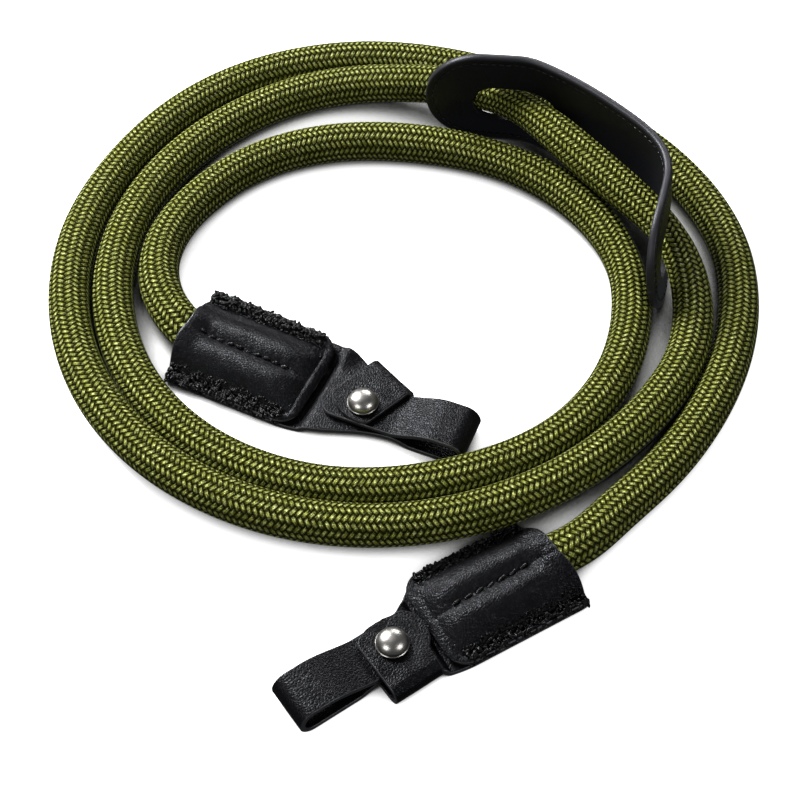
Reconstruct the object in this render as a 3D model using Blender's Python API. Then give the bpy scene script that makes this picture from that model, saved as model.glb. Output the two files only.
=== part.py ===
# Camera neck strap: a round braided rope laid in two loops, a leather tab sewn on each end
# with a folded loop, keeper and stud, and a slotted leather shoulder pad standing on its edge.
# Lengths are in metres, +Z is up and the strap lies on the plane Z = 0.

import bpy
import bmesh
import numpy as np
from math import sin, cos, pi, radians, sqrt
from mathutils import Vector

mm = 0.001

# Rope
rope_diameter = 11.0 * mm
rope_points = 79
rope_squeeze = 0.16            # share of the width lost where a slot grips the rope
squeeze_reach = 15.0 * mm
rope_gap = 0.3 * mm            # between the tube's cut faces and the flattened ends
piece_gap = 0.3 * mm           # between touching pieces

# Centre line of the rope in millimetres, from the mouth of tab A to the mouth of tab B
route = [
    (-66.0, 21.5, 5.5), (-70.0, 29.5, 5.5), (-72.5, 42.0, 5.5), (-67.5, 57.0, 5.5),
    (-57.0, 71.0, 5.5), (-34.5, 84.0, 5.5), (-1.0, 85.5, 5.5), (30.5, 74.0, 5.5),
    (51.5, 48.0, 5.5), (53.0, 15.0, 5.5), (36.5, -13.5, 5.5), (7.0, -29.0, 5.5),
    (-29.0, -31.0, 5.5), (-61.0, -15.5, 5.5), (-79.0, 10.0, 5.5), (-84.0, 41.5, 5.5),
    (-73.5, 73.5, 5.5), (-53.5, 95.5, 5.5), (-28.0, 107.5, 6.0), (-3.0, 106.0, 9.5),
    (18.0, 98.0, 13.5), (35.0, 80.5, 17.0), (51.0, 61.0, 16.5), (66.0, 40.5, 14.5),
    (69.5, 15.5, 8.0), (56.5, -9.5, 7.0), (33.0, -30.5, 7.5), (-0.5, -43.0, 7.5),
    (-36.5, -41.0, 7.5), (-68.0, -24.5, 7.5), (-89.0, 4.0, 7.0), (-95.5, 41.5, 6.5),
    (-84.0, 79.5, 5.5), (-57.0, 108.5, 5.5), (-19.0, 120.0, 5.5), (24.0, 111.5, 5.5),
    (60.0, 87.5, 5.5), (82.5, 48.0, 5.5), (64.5, -19.0, 5.5), (34.5, -49.0, 5.5),
]

# Tabs: place of the sleeve's mouth, heading of the tab and turn of its strap, how far the stud and the
# far end of the loop lie past the sleeve's front, the stud's place across the tab, the keeper's turn, how
# far the keeper sits off the stud along the strap and how far it reaches from the stud to its fold and its
# open end, and how far the sewn edge on the left stands off the floor and further out
tabs = {
    "a": {"x": -62.5 * mm, "y": 17.0 * mm, "heading": -25.5, "bend": 3.0, "stud": 14.5 * mm,
          "stud_across": -1.8 * mm, "loop": 44.0 * mm, "skew": 26.0, "slide": -1.7 * mm,
          "fold": 13.0 * mm, "open": 5.5 * mm, "lift": 3.2 * mm, "wider": 1.0 * mm},
    "b": {"x": 31.5 * mm, "y": -50.5 * mm, "heading": 210.0, "bend": 5.0, "stud": 10.5 * mm,
          "stud_across": 1.0 * mm, "loop": 39.5 * mm, "skew": 0.0, "slide": 0.0 * mm,
          "fold": 11.8 * mm, "open": 7.0 * mm, "lift": 0.0 * mm, "wider": 0.0 * mm},
}

base_thickness = 1.4 * mm      # base leather, strap and loop
base_start = 0.5 * mm          # base leather begins just behind the sleeve's mouth
sleeve_length = 37.0 * mm
sleeve_wall = 1.2 * mm
sleeve_width = 27.0 * mm       # over both sewn edges
sleeve_body = 20.0 * mm        # raised part
mouth_height = 11.0 * mm
sleeve_height = 9.8 * mm
valley_depth = 1.8 * mm
strap_width = 11.0 * mm
strap_start = 9.0 * mm         # from the sleeve's front to the full narrowing of the strap
loop_height = 5.4 * mm         # clear height inside the loop
loop_flat = 13.6 * mm          # length of the loop that keeps its full height
strap_drop = 5.5 * mm          # length over which the strap comes down behind the keeper
tip_reach = 9.5 * mm           # free end of the strap behind the stud
corner_radius = 5.5 * mm       # front corners of the sleeve
lift_reach = 6.5 * mm          # width of the raised sewn edge
lift_spread = 0.2              # share by which the upper leather stands up more than the lower
keeper_width = 13.5 * mm       # along the tab
keeper_thickness = 1.1 * mm
stud_diameter = 8.0 * mm
stud_height = 3.4 * mm
stud_rim = 0.7 * mm
end_inside = 0.74              # share of the sleeve that the rope's end fills

# Shoulder pad: line of its upper outer edge from the left tip, width of the strip and the two slots
pad_x = 0.0 * mm
pad_y = 95.8 * mm
pad_length = 117.0 * mm
pad_width = 32.0 * mm
pad_thickness = 2.2 * mm
slot_height = 12.2 * mm
slot_rise = 8.4 * mm           # lower edge of the slots above the pad's lower edge
slot_a_start = 9.5 * mm
slot_a_length = 31.0 * mm
slot_b_end = 9.0 * mm
slot_b_length = 24.0 * mm

# Plan heading of the pad in degrees at shares of its length
pad_headings = [
    (0.00, -3), (0.10, -4), (0.22, -5), (0.28, -30), (0.34, -36), (0.46, -44),
    (0.57, -49), (0.64, -62), (0.71, -86), (0.77, -104), (0.89, -108), (1.00, -108),
]
# Lean of the pad's upper edge towards the inside, in degrees, at shares of its length
pad_leans = [(0.00, 2), (0.30, 0), (0.60, 2), (0.75, 6), (1.00, 12)]

# Sleeve sections at shares of its length: share of the height and of the valley's depth
sleeve_sections = [
    (0.00, 1.00, 0.10), (0.08, 1.00, 0.35), (0.20, 1.00, 1.00), (0.50, 0.98, 1.00),
    (0.70, 0.93, 1.00), (0.82, 0.80, 0.80), (0.91, 0.46, 0.35), (0.97, 0.08, 0.00), (1.00, 0.00, 0.00),
]


def clear_scene():
    for obj in list(bpy.data.objects):
        bpy.data.objects.remove(obj, do_unlink=True)


def material(name, colour, roughness, metallic=0.0):
    mat = bpy.data.materials.new(name)
    mat.use_nodes = True
    bsdf = mat.node_tree.nodes["Principled BSDF"]
    bsdf.inputs["Base Color"].default_value = (*colour, 1.0)
    bsdf.inputs["Roughness"].default_value = roughness
    bsdf.inputs["Metallic"].default_value = metallic
    return mat


def table(rows, share, column=1):
    return float(np.interp(share, [row[0] for row in rows], [row[column] for row in rows]))


def smooth(value):
    value = min(max(value, 0.0), 1.0)
    return value * value * (3.0 - 2.0 * value)


def finish(name, bm, mat):
    bmesh.ops.recalc_face_normals(bm, faces=bm.faces)
    if bm.calc_volume(signed=True) < 0.0:
        bmesh.ops.reverse_faces(bm, faces=bm.faces)
    mesh = bpy.data.meshes.new(name)
    bm.to_mesh(mesh)
    bm.free()
    mesh.shade_smooth()
    mesh.set_sharp_from_angle(angle=radians(40.0))
    mesh.materials.append(mat)
    obj = bpy.data.objects.new(name, mesh)
    bpy.context.collection.objects.link(obj)
    return obj


def sheet(name, grid, thickness, mat):
    """Closed leather sheet from a grid of points on its middle surface."""
    points = np.array(grid)
    along = np.gradient(points, axis=0)
    across = np.gradient(points, axis=1)
    normal = np.cross(along, across)
    normal /= np.linalg.norm(normal, axis=2)[:, :, None]
    rows, columns = points.shape[:2]
    bm = bmesh.new()
    upper = [[bm.verts.new(v) for v in row] for row in points + normal * thickness / 2.0]
    lower = [[bm.verts.new(v) for v in row] for row in points - normal * thickness / 2.0]
    for i in range(rows - 1):
        for j in range(columns - 1):
            bm.faces.new((upper[i][j], upper[i + 1][j], upper[i + 1][j + 1], upper[i][j + 1]))
            bm.faces.new((lower[i][j + 1], lower[i + 1][j + 1], lower[i + 1][j], lower[i][j]))
    for i in range(rows - 1):
        for j in (0, columns - 1):
            bm.faces.new((upper[i][j], lower[i][j], lower[i + 1][j], upper[i + 1][j]))
    for j in range(columns - 1):
        for i in (0, rows - 1):
            bm.faces.new((upper[i][j], upper[i][j + 1], lower[i][j + 1], lower[i][j]))
    return finish(name, bm, mat)


def loft(name, rings, mat):
    bm = bmesh.new()
    loops = [[bm.verts.new(p) for p in ring] for ring in rings]
    count = len(loops[0])
    for first, second in zip(loops, loops[1:]):
        for i in range(count):
            j = (i + 1) % count
            bm.faces.new((first[i], first[j], second[j], second[i]))
    bm.faces.new(loops[0])
    bm.faces.new(loops[-1])
    return finish(name, bm, mat)


def natural_cubic(knots, count):
    """Points evenly spaced on a natural cubic through the knots."""
    knots = np.array(knots, dtype=float)
    chord = np.linalg.norm(np.diff(knots, axis=0), axis=1)
    t = np.concatenate([[0.0], np.cumsum(chord)])
    n = len(knots)
    matrix = np.zeros((n, n))
    right = np.zeros((n, 3))
    matrix[0, 0] = 1.0
    matrix[-1, -1] = 1.0
    for i in range(1, n - 1):
        matrix[i, i - 1] = chord[i - 1]
        matrix[i, i] = 2.0 * (chord[i - 1] + chord[i])
        matrix[i, i + 1] = chord[i]
        step = (knots[i + 1] - knots[i]) / chord[i] - (knots[i] - knots[i - 1]) / chord[i - 1]
        right[i] = 6.0 * step
    second = np.linalg.solve(matrix, right)
    fine = np.linspace(0.0, t[-1], 40 * n)
    index = np.clip(np.searchsorted(t, fine, side="right") - 1, 0, n - 2)
    h = chord[index][:, None]
    a = (t[index + 1] - fine)[:, None] / h
    b = 1.0 - a
    curve = (a * knots[index] + b * knots[index + 1]
             + ((a ** 3 - a) * second[index] + (b ** 3 - b) * second[index + 1]) * h * h / 6.0)
    length = np.concatenate([[0.0], np.cumsum(np.linalg.norm(np.diff(curve, axis=0), axis=1))])
    even = np.linspace(0.0, length[-1], count)
    return np.stack([np.interp(even, length, curve[:, k]) for k in range(3)], axis=1)


def tab_place(tab, u, v, z):
    """World point at u along a tab, v to its left and z up; the strap turns beyond the sleeve."""
    turn_at = sleeve_length + strap_start / 2.0
    heading = radians(tab["heading"])
    x = tab["x"] + min(u, turn_at) * cos(heading)
    y = tab["y"] + min(u, turn_at) * sin(heading)
    turned = heading + radians(tab["bend"]) * smooth((u - sleeve_length) / strap_start)
    beyond = max(u - turn_at, 0.0)
    x += beyond * cos(turned) - v * sin(turned)
    y += beyond * sin(turned) + v * cos(turned)
    return Vector((x, y, z))


def edge_lift(tab, u, v):
    """Height that the left sewn edge stands off the floor, a little less towards the front."""
    rise = smooth((v - (sleeve_width / 2.0 - lift_reach)) / lift_reach)
    fade = 1.0 - 0.3 * smooth(u / sleeve_length) - 0.7 * smooth((u - sleeve_length) / strap_start)
    return tab["lift"] * rise * max(fade, 0.0)


def half_width(tab, u, side):
    """Half width of the sleeve at u, with its round front corners, on the left (1) or right (-1)."""
    half = sleeve_width / 2.0 + (tab["wider"] if side > 0.0 else 0.0)
    into = min(max(u - (sleeve_length - corner_radius), 0.0), corner_radius)
    return half - (corner_radius - sqrt(corner_radius ** 2 - into ** 2))


def stud_at(tab):
    """Length from the sleeve's mouth to the stud."""
    return sleeve_length + tab["stud"]


def keeper_span(tab):
    """Lengths along the tab between which the turned keeper lies on the strap."""
    turn = radians(tab["skew"])
    spots = []
    for along in (tab["slide"] - keeper_width / 2.0, tab["slide"] + keeper_width / 2.0):
        for edge in (-strap_width / 2.0, strap_width / 2.0):
            across = (edge - tab["stud_across"] + along * sin(turn)) / cos(turn)
            across = min(max(across, -tab["open"]), tab["fold"])
            spots.append(stud_at(tab) + along * cos(turn) + across * sin(turn))
    return min(spots), max(spots)


def keeper_place(tab, along, across, z):
    """World point on the turned keeper, measured from the stud."""
    turn = radians(tab["skew"])
    slid = along + tab["slide"]
    u = stud_at(tab) + slid * cos(turn) + across * sin(turn)
    v = tab["stud_across"] + across * cos(turn) - slid * sin(turn)
    return tab_place(tab, u, v, z)


def pad_line():
    """Plan points and headings of the pad's upper outer edge at small steps along it."""
    steps = 400
    shares = np.linspace(0.0, 1.0, steps + 1)
    headings = np.radians([table(pad_headings, share) for share in shares])
    middle = (headings[1:] + headings[:-1]) / 2.0
    step = pad_length / steps
    x = pad_x + np.concatenate([[0.0], np.cumsum(np.cos(middle))]) * step
    y = pad_y + np.concatenate([[0.0], np.cumsum(np.sin(middle))]) * step
    return shares * pad_length, x, y, headings


pad_s, pad_px, pad_py, pad_h = pad_line()


def pad_place(s, w):
    """Point on the middle surface of the pad at s along it and w up its width."""
    heading = float(np.interp(s, pad_s, pad_h))
    lean = radians(table(pad_leans, min(max(s / pad_length, 0.0), 1.0)))
    inside = Vector((sin(heading), -cos(heading), 0.0))
    edge = Vector((float(np.interp(s, pad_s, pad_px)), float(np.interp(s, pad_s, pad_py)), 0.0))
    rise = Vector((0.0, 0.0, cos(lean))) + inside * sin(lean)
    foot = edge + inside * (pad_thickness / 2.0 - pad_width * sin(lean))
    foot.z = pad_thickness / 2.0 * sin(lean)
    return foot + rise * w


def stadium(start, length, middle, height, end_steps, straight_step, rows_across):
    """Grid of (s, w) over a strip with round ends."""
    radius = height / 2.0
    stations = [radius * (1.0 - cos(radians(a))) for a in np.linspace(14.0, 90.0, end_steps)]
    straight = max(2, int((length - height) / straight_step))
    inner = [radius + (length - height) * i / straight for i in range(1, straight)]
    stations += inner + [length - s for s in reversed(stations)]
    grid = []
    for s in stations:
        edge = min(s, length - s, radius)
        half = sqrt(max(radius ** 2 - (radius - edge) ** 2, 0.0))
        grid.append([(start + s, middle + half * f) for f in np.linspace(-1.0, 1.0, rows_across)])
    return grid


def slot_b_start():
    """Length from the pad's start to slot B, which is set from the pad's far end."""
    return pad_length - slot_b_end - slot_b_length


def make_pad(mat):
    middle = pad_width / 2.0
    strip = stadium(0.0, pad_length, middle, pad_width, 7, 2.6 * mm, 7)
    pad = sheet("shoulder_pad", [[pad_place(s, w) for s, w in row] for row in strip], pad_thickness, mat)
    slots = [("slot_a", slot_a_start, slot_a_length), ("slot_b", slot_b_start(), slot_b_length)]
    for name, start, length in slots:
        grid = stadium(start, length, slot_rise + slot_height / 2.0, slot_height, 5, 2.6 * mm, 3)
        rows = [[pad_place(s, w) for s, w in row] for row in grid]
        cutter = sheet(name + "_cutter", rows, pad_thickness * 3.0, mat)
        cutter.hide_render = True
        cutter.display_type = "WIRE"
        cut = pad.modifiers.new(name, "BOOLEAN")
        cut.operation = "DIFFERENCE"
        cut.solver = "EXACT"
        cut.object = cutter
    return pad


def make_rope(mat):
    points = natural_cubic([[c * mm for c in knot] for knot in route], int(rope_points))
    radius = rope_diameter / 2.0
    points[:, 2] = np.maximum(points[:, 2], radius)
    slot_middle = slot_rise + slot_height / 2.0
    grips = [pad_place(slot_a_start + slot_a_length / 2.0, slot_middle),
             pad_place(slot_b_start() + slot_b_length / 2.0, slot_middle)]
    curve = bpy.data.curves.new("braided_rope", "CURVE")
    curve.dimensions = "3D"
    curve.bevel_depth = radius
    curve.bevel_resolution = 4
    curve.use_fill_caps = True
    curve.resolution_u = 1
    curve.render_resolution_u = 0
    spline = curve.splines.new("POLY")
    spline.points.add(len(points) - 1)
    for point, place in zip(spline.points, points):
        near = min((Vector(place) - grip).length for grip in grips)
        point.co = (*place, 1.0)
        point.radius = 1.0 - rope_squeeze * np.exp(-(near / squeeze_reach) ** 2)
    curve.materials.append(mat)
    rope = bpy.data.objects.new("braided_rope", curve)
    bpy.context.collection.objects.link(rope)
    return points


def sleeve_profile(share, across):
    """Height of the sleeve's middle surface at a share of its length and at v across it."""
    low = base_thickness + piece_gap + sleeve_wall / 2.0
    high = mouth_height + (sleeve_height - mouth_height) * smooth(share / 0.15) - sleeve_wall / 2.0
    x = abs(across) / (sleeve_body / 2.0)
    arch = smooth((1.0 - x) / 0.62)
    z = low + (high - low) * arch * table(sleeve_sections, share, 1)
    valley = valley_depth * table(sleeve_sections, share, 2)
    return z - valley * np.exp(-(across / (0.17 * sleeve_body)) ** 2)


def make_sleeve(key, tab, mat):
    half = sleeve_width / 2.0
    body = sleeve_body / 2.0
    side = [1.0, 0.94, 0.86, 0.77, 0.67, 0.56, 0.44, 0.32, 0.2, 0.1]
    columns = [-half] + [-body * f for f in side] + [0.0] + [body * f for f in reversed(side)] + [half]
    shares = [0.0, 0.05, 0.1, 0.16, 0.24, 0.36, 0.48, 0.6, 0.7, 0.78, 0.85, 0.9, 0.94, 0.97, 0.99, 1.0]
    grid = []
    for share in shares:
        u = share * sleeve_length
        row = []
        for v in columns:
            scale = half_width(tab, u, v) / half
            z = sleeve_profile(share, v) + (1.0 + lift_spread) * edge_lift(tab, u, v * scale)
            row.append(tab_place(tab, u, v * scale, z))
        grid.append(row)
    return sheet("sleeve_" + key, grid, sleeve_wall, mat)


def make_tongue(key, tab, mat):
    """Base leather: flat under the sleeve, over the keeper's lower ply, round the loop and back."""
    t = base_thickness
    over_keeper = keeper_thickness + piece_gap + t / 2.0
    back = over_keeper + t + piece_gap
    keeper_from, keeper_to = keeper_span(tab)
    narrow = sleeve_length + strap_start
    half = sleeve_width / 2.0
    slim = strap_width / 2.0
    line = []
    flat_rows = 12
    for u in (base_start, 8.0 * mm, 15.0 * mm, 22.0 * mm, 29.0 * mm, sleeve_length):
        line.append((u, t / 2.0, half if u < sleeve_length else half * 0.94))
    for share in (0.15, 0.3, 0.45, 0.6, 0.8, 1.0):
        u = sleeve_length + strap_start * share
        width = slim + (half * 0.94 - slim) * (1.0 - smooth(share / 0.85))
        z = t / 2.0 + (over_keeper - t / 2.0) * smooth((u - sleeve_length - 1.0 * mm) / (keeper_from
                      - sleeve_length - 1.8 * mm))
        line.append((u, z, width))
    line.append((keeper_to, over_keeper, slim))
    for share in (0.25, 0.5, 0.75, 1.0):
        z = over_keeper + (t / 2.0 - over_keeper) * smooth(share)
        line.append((keeper_to + 2.0 * piece_gap + strap_drop * share, z, slim))
    radius = (loop_height + t) / 2.0
    middle = t / 2.0 + radius
    turn = sleeve_length + tab["loop"] - t / 2.0 - radius
    for angle in np.linspace(-90.0, 90.0, 11):
        a = radians(angle)
        line.append((turn + radius * cos(a), middle + radius * sin(a), slim))
    top = t / 2.0 + 2.0 * radius
    high_from = turn - loop_flat + radius
    for share in (0.0, 0.2, 0.4, 0.6, 0.8, 1.0):
        u = high_from + (keeper_to + 2.0 * piece_gap - high_from) * share
        line.append((u, top + (back - top) * smooth(share), slim))
    tip = stud_at(tab) - tip_reach
    line.append((keeper_from, back, slim))
    for angle in (0.0, 25.0, 50.0, 72.0):
        a = radians(angle)
        line.append((tip + slim * 0.7 * (1.0 - sin(a)), back, slim * cos(a)))
    grid = []
    for index, (u, z, width) in enumerate(line):
        row = []
        for f in (-1.0, -0.7, -0.3, 0.3, 0.5, 0.7, 0.85, 1.0):
            v = width * f
            if index < flat_rows:
                v += tab["wider"] * max(f, 0.0)
                row.append(tab_place(tab, u, v, z + edge_lift(tab, u, v)))
            else:
                row.append(tab_place(tab, u, v, z))
        grid.append(row)
    return sheet("tongue_" + key, grid, t, mat)


def make_keeper(key, tab, mat):
    """Strip folded round the strap on its left side, with round ends under and over the stud."""
    t = keeper_thickness
    low = t / 2.0
    stack = keeper_thickness + 2.0 * base_thickness + 3.0 * piece_gap
    high = stack + t / 2.0
    radius = (high - low) / 2.0
    fold = tab["fold"] - radius - t / 2.0
    end = -tab["open"]
    half = keeper_width / 2.0
    line = []
    bend = [(fold + radius * sin(radians(a)), low + radius - radius * cos(radians(a)))
            for a in np.linspace(0.0, 180.0, 9)]
    rounding = [(half * 0.5 * (1.0 - sin(radians(a))), half * cos(radians(a)))
                for a in (68.0, 45.0, 22.0, 0.0)]
    for inset, width in rounding:
        line.append((end + inset, low, width))
    for v, z in bend:
        line.append((v, z, half))
    for inset, width in reversed(rounding):
        line.append((end + inset, high, width))
    grid = [[keeper_place(tab, width * f, v, z) for f in (-1.0, -0.5, 0.0, 0.5, 1.0)]
            for v, z, width in line]
    return sheet("keeper_" + key, grid, t, mat)


def make_stud(key, tab, mat):
    """Turned dome with a thin rim, standing on the keeper's upper ply."""
    radius = stud_diameter / 2.0
    seat = 2.0 * keeper_thickness + 2.0 * base_thickness + 4.0 * piece_gap
    rim_high = stud_rim * 0.7
    profile = [(0.0, 0.0), (radius * 0.92, 0.0), (radius, rim_high * 0.4), (radius * 0.97, rim_high)]
    cap = radius - stud_rim
    for angle in np.linspace(8.0, 82.0, 7):
        a = radians(angle)
        profile.append((cap * cos(a), rim_high + (stud_height - rim_high) * sin(a)))
    profile.append((0.0, stud_height))
    centre = tab_place(tab, stud_at(tab), tab["stud_across"], seat)
    bm = bmesh.new()
    verts = [bm.verts.new((centre.x + r, centre.y, centre.z + z)) for r, z in profile]
    edges = [bm.edges.new(pair) for pair in zip(verts, verts[1:])]
    bmesh.ops.spin(bm, geom=verts + edges, cent=centre, axis=(0.0, 0.0, 1.0), angle=2.0 * pi,
                   steps=24, use_merge=True)
    bmesh.ops.remove_doubles(bm, verts=bm.verts, dist=0.01 * mm)
    return finish("stud_" + key, bm, mat)


def make_rope_end(key, tab, point, before, mat):
    """Rope beyond the tube's cut face: round outside the mouth, pressed flat inside the sleeve."""
    leave = (Vector(point) - Vector(before)).normalized()
    start = Vector(point) + leave * rope_gap
    ahead = (tab_place(tab, 1.0 * mm, 0.0, 0.0) - tab_place(tab, 0.0, 0.0, 0.0)).normalized()
    floor = base_thickness + piece_gap
    radius = rope_diameter / 2.0
    inner_top = mouth_height - sleeve_wall - 2.0 * piece_gap
    low_top = sleeve_height - sleeve_wall - valley_depth - 2.0 * piece_gap
    stations = [(0.2 * mm, inner_top, 1.08), (4.0 * mm, inner_top - 2.2 * mm, 1.1)]
    for share in (0.3, 0.5, 0.66):
        stations.append((sleeve_length * share, low_top, 1.1))
    stations.append((sleeve_length * end_inside, low_top * 0.86, 1.0))
    rings = []
    side = Vector((-leave.y, leave.x, 0.0))
    angles = np.linspace(0.0, 2.0 * pi, 16, endpoint=False)
    rings.append([start + side * radius * cos(a) + Vector((0.0, 0.0, radius * sin(a))) for a in angles])
    side = Vector((-ahead.y, ahead.x, 0.0))
    for u, top, wide in stations:
        middle = tab_place(tab, u, 0.0, (floor + piece_gap + top) / 2.0)
        half = (top - floor - piece_gap) / 2.0
        rings.append([middle + side * radius * wide * cos(a) + Vector((0.0, 0.0, half * sin(a)))
                      for a in angles])
    return loft("rope_end_" + key, rings, mat)


def main():
    clear_scene()
    rope_mat = material("braided_cord", (0.19, 0.21, 0.07), 0.62)
    leather = material("black_leather", (0.018, 0.019, 0.024), 0.42)
    steel = material("polished_studs", (0.72, 0.71, 0.68), 0.12, 1.0)
    points = make_rope(rope_mat)
    make_rope_end("a", tabs["a"], points[0], points[1], rope_mat)
    make_rope_end("b", tabs["b"], points[-1], points[-2], rope_mat)
    for key, tab in tabs.items():
        make_sleeve(key, tab, leather)
        make_tongue(key, tab, leather)
        make_keeper(key, tab, leather)
        make_stud(key, tab, steel)
    make_pad(leather)


main()
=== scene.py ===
import math

import bmesh
import bpy
import numpy as np
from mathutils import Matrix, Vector


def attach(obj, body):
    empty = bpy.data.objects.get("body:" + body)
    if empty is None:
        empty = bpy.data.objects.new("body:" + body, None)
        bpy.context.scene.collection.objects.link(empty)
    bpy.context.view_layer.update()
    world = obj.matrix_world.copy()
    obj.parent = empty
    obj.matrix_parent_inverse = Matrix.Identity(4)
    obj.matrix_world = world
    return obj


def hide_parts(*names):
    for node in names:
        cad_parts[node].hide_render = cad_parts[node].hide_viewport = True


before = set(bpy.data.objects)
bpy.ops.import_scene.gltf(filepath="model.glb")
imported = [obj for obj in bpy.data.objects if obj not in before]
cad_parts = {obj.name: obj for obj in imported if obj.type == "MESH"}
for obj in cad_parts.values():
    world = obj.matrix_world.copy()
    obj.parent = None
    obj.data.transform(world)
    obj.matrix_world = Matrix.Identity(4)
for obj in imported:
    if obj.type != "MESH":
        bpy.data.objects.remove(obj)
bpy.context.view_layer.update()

mm = 0.001  # sizes are written in millimetres, Blender works in metres


def smoothStep(value):
    value = np.clip(value, 0.0, 1.0)
    return value * value * (3.0 - 2.0 * value)


def tableValue(rows, share, column=1):
    return np.interp(share, [row[0] for row in rows], [row[column] for row in rows])


def wave(p, q):
    # slow uneven swell from a few fixed sine waves
    sines = [(0.31, 0.47, 0.2), (0.83, -0.39, 1.7), (-0.57, 1.13, 3.1), (1.37, 0.91, 4.4)]
    total = 0.0
    for number, (overP, overQ, phase) in enumerate(sines):
        total = total + np.sin(p * overP + q * overQ + phase) / (number + 1.5)
    return total


def linkObject(name, mesh):
    made = bpy.data.objects.new(name, mesh)
    bpy.context.collection.objects.link(made)
    return made


def plainMesh(source):
    # what an object looks like with its modifiers, as a mesh of its own
    bpy.context.view_layer.update()
    return bpy.data.meshes.new_from_object(source.evaluated_get(bpy.context.evaluated_depsgraph_get()))


def linkMesh(name, verts, faces, uvs=None, smooth=True):
    mesh = bpy.data.meshes.new(name)
    mesh.from_pydata((np.asarray(verts) * mm).tolist(), [], faces)
    if uvs is not None:
        layer = mesh.uv_layers.new(name="lay")
        loopVerts = np.zeros(len(mesh.loops), dtype=np.int32)
        mesh.loops.foreach_get("vertex_index", loopVerts)
        layer.data.foreach_set("uv", np.asarray(uvs, dtype=np.float32)[loopVerts].ravel())
    work = bmesh.new()
    work.from_mesh(mesh)
    bmesh.ops.recalc_face_normals(work, faces=work.faces)
    if work.calc_volume(signed=True) < 0.0:
        bmesh.ops.reverse_faces(work, faces=work.faces)
    work.to_mesh(mesh)
    work.free()
    if smooth:
        mesh.shade_smooth()
    return linkObject(name, mesh)


def sheetNormals(points):
    normal = np.cross(np.gradient(points, axis=0), np.gradient(points, axis=1))
    return normal / np.linalg.norm(normal, axis=2)[:, :, None]


def closedSheet(name, grid, thickness, bulge, steps=5, uvs=None, skins=()):
    # leather sheet from a grid of points on its middle surface; its cut edges stand out by bulge,
    # and take the second skin where there is one, whose paler colour is partly a painted highlight
    points = np.asarray(grid, dtype=float)
    rows, columns = points.shape[:2]
    half = np.broadcast_to(np.asarray(thickness, dtype=float), (rows, columns))[:, :, None] / 2.0
    normal = sheetNormals(points)
    verts = [(points + normal * half).reshape(-1, 3), (points - normal * half).reshape(-1, 3)]
    count = rows * columns
    index = np.arange(count).reshape(rows, columns)
    around = list(index[0, :]) + list(index[1:, -1]) + list(index[-1, -2::-1]) + list(index[-2:0:-1, 0])
    inner = np.clip(np.stack(np.unravel_index(around, (rows, columns)), axis=1), 1, [rows - 2, columns - 2])
    edge = points.reshape(-1, 3)[around]
    outward = edge - points[inner[:, 0], inner[:, 1]]
    outward /= np.linalg.norm(outward, axis=1)[:, None]
    edgeNormal = normal.reshape(-1, 3)[around]
    edgeHalf = half.reshape(-1, 1)[around]
    rings = [around]
    flat = [] if uvs is None else [np.asarray(uvs).reshape(-1, 2)] * 2
    start = 2 * count
    for step in range(1, steps):
        angle = math.pi * step / steps
        verts.append(edge + edgeNormal * edgeHalf * math.cos(angle) + outward * bulge * math.sin(angle))
        rings.append(list(range(start, start + len(around))))
        start += len(around)
        if uvs is not None:
            flat.append(np.asarray(uvs).reshape(-1, 2)[around])
    rings.append([count + i for i in around])
    faces = []
    for i in range(rows - 1):
        for j in range(columns - 1):
            a, b, c, d = index[i, j], index[i + 1, j], index[i + 1, j + 1], index[i, j + 1]
            faces.append((a, b, c, d))
            faces.append((d + count, c + count, b + count, a + count))
    flatFaces = len(faces)
    for upper, lower in zip(rings, rings[1:]):
        for k in range(len(around)):
            n = (k + 1) % len(around)
            faces.append((upper[k], upper[n], lower[n], lower[k]))
    faces = [tuple(int(i) for i in face) for face in faces]
    piece = linkMesh(name, np.concatenate(verts), faces, None if uvs is None else np.concatenate(flat))
    for skin in skins:
        piece.data.materials.append(skin)
    if len(skins) > 1:
        for face in piece.data.polygons[flatFaces:]:
            face.material_index = 1
    return piece


def naturalCubic(knots, count):
    # smooth curve through the knots, as evenly spaced points
    finePerKnot = 200
    knots = np.array(knots, dtype=float)
    chord = np.linalg.norm(np.diff(knots, axis=0), axis=1)
    t = np.concatenate([[0.0], np.cumsum(chord)])
    n = len(knots)
    matrix = np.zeros((n, n))
    right = np.zeros((n, 3))
    matrix[0, 0] = 1.0
    matrix[-1, -1] = 1.0
    for i in range(1, n - 1):
        matrix[i, i - 1:i + 2] = (chord[i - 1], 2.0 * (chord[i - 1] + chord[i]), chord[i])
        right[i] = 6.0 * ((knots[i + 1] - knots[i]) / chord[i] - (knots[i] - knots[i - 1]) / chord[i - 1])
    second = np.linalg.solve(matrix, right)
    fine = np.linspace(0.0, t[-1], finePerKnot * n)
    index = np.clip(np.searchsorted(t, fine, side="right") - 1, 0, n - 2)
    h = chord[index][:, None]
    a = (t[index + 1] - fine)[:, None] / h
    b = 1.0 - a
    curve = (a * knots[index] + b * knots[index + 1]
             + ((a ** 3 - a) * second[index] + (b ** 3 - b) * second[index + 1]) * h * h / 6.0)
    return evenPoints(curve, count)


def evenPoints(curve, count):
    length = np.concatenate([[0.0], np.cumsum(np.linalg.norm(np.diff(curve, axis=0), axis=1))])
    even = np.linspace(0.0, length[-1], count)
    return np.stack([np.interp(even, length, curve[:, k]) for k in range(3)], axis=1)


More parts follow.
